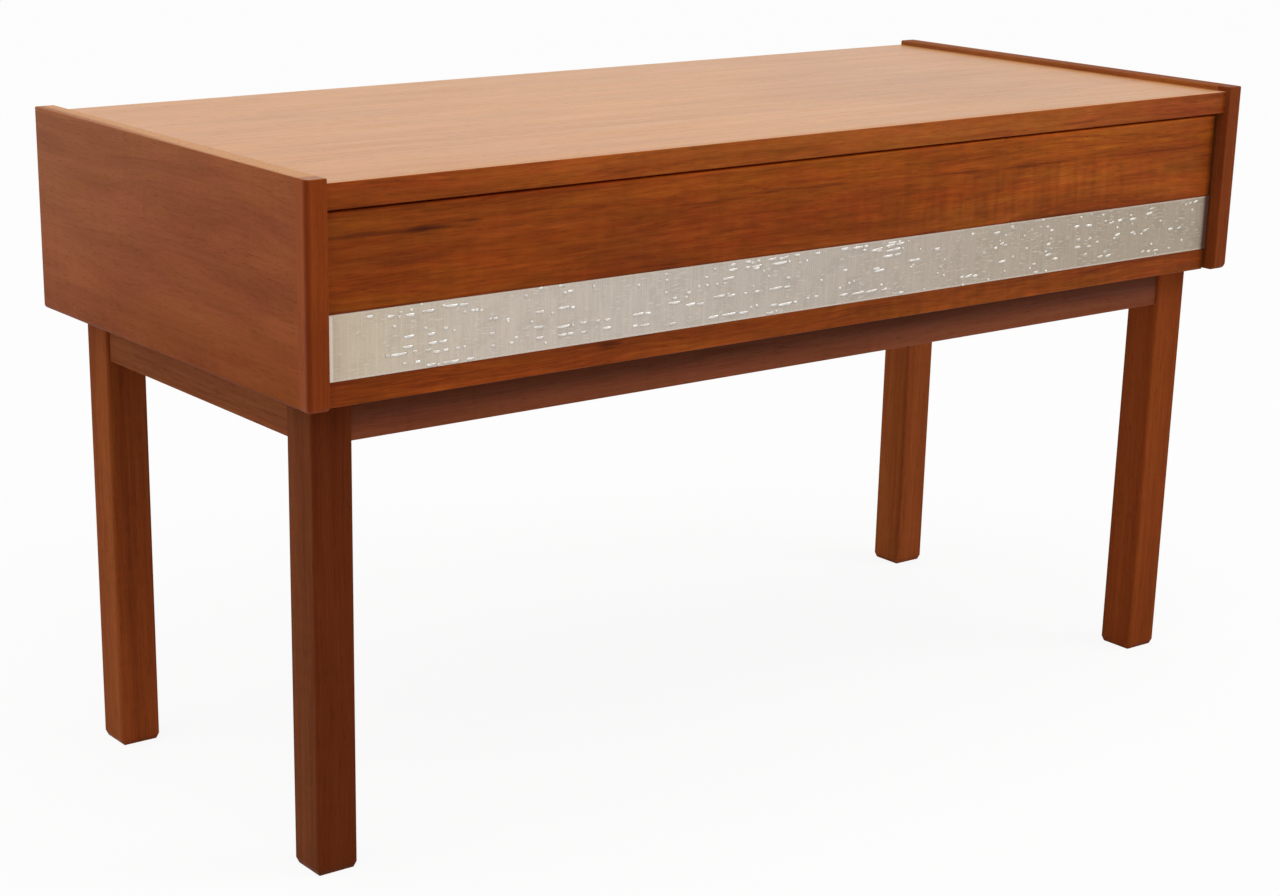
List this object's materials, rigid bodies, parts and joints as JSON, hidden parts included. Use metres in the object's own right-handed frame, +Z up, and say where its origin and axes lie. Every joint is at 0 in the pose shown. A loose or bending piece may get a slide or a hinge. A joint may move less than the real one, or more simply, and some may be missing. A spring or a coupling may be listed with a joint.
{
  "type": "sewing table",
  "caption": "Low rectangular sewing table on square legs, with raised side panels and one wide handle-less drawer that carries a woven metallic strip and a sliding divided tray.",
  "frame": {"origin": "on the floor, under the middle of the table", "axes": "+X along the width to the right, +Y from front to back, +Z up"},
  "size_m": [1, 0.436, 0.55],
  "materials": {
    "teak_veneer": "oiled",
    "teak_solid": "oiled",
    "woven_metallic": "woven",
    "beech": "satin lacquer",
    "plywood": "satin lacquer",
    "steel": "plain"
  },
  "bodies": {
    "case": {"back_left_corner_brace": "beech", "back_left_leg": "teak_solid", "back_panel": "plywood", "back_panel_nails": "steel", "back_rail": "teak_solid", "back_right_corner_brace": "beech", "back_right_leg": "teak_solid", "bottom_panel": "beech", "bottom_panel_dowels": "beech", "corner_brace_screws": "steel", "front_left_corner_brace": "beech", "front_left_leg": "teak_solid", "front_rail": "teak_solid", "front_right_corner_brace": "beech", "front_right_leg": "teak_solid", "left_rail": "teak_solid", "left_runner": "beech", "left_side_lipping": "teak_solid", "left_side_panel": "teak_veneer", "right_rail": "teak_solid", "right_runner": "beech", "right_side_lipping": "teak_solid", "right_side_panel": "teak_veneer", "runner_screws": "steel", "top_lipping": "teak_solid", "top_panel": "teak_veneer", "top_panel_dowels": "beech"},
    "drawer": {"drawer_back": "beech", "drawer_back_ledge": "beech", "drawer_bottom": "plywood", "drawer_bottom_nails": "steel", "drawer_divider_1": "beech", "drawer_divider_2": "beech", "drawer_front": "teak_veneer", "drawer_front_ledge": "beech", "drawer_left_side": "beech", "drawer_right_side": "beech", "thread_peg_board": "beech", "thread_pegs": "beech", "woven_strip": "woven_metallic"},
    "tray": {"tray_back_end": "beech", "tray_bottom": "plywood", "tray_cross_divider_1": "beech", "tray_cross_divider_2": "beech", "tray_front_end": "beech", "tray_left_side": "beech", "tray_long_divider": "beech", "tray_right_side": "beech"}
  },
  "joints": [
    {"name": "drawer_slide", "type": "slide", "parent": "case", "child": "drawer", "axis": [0, -1, 0], "range_m": [0, 0.28]},
    {"name": "tray_slide", "type": "slide", "parent": "drawer", "child": "tray", "axis": [1, 0, 0], "range_m": [0, 0.63]}
  ]
}
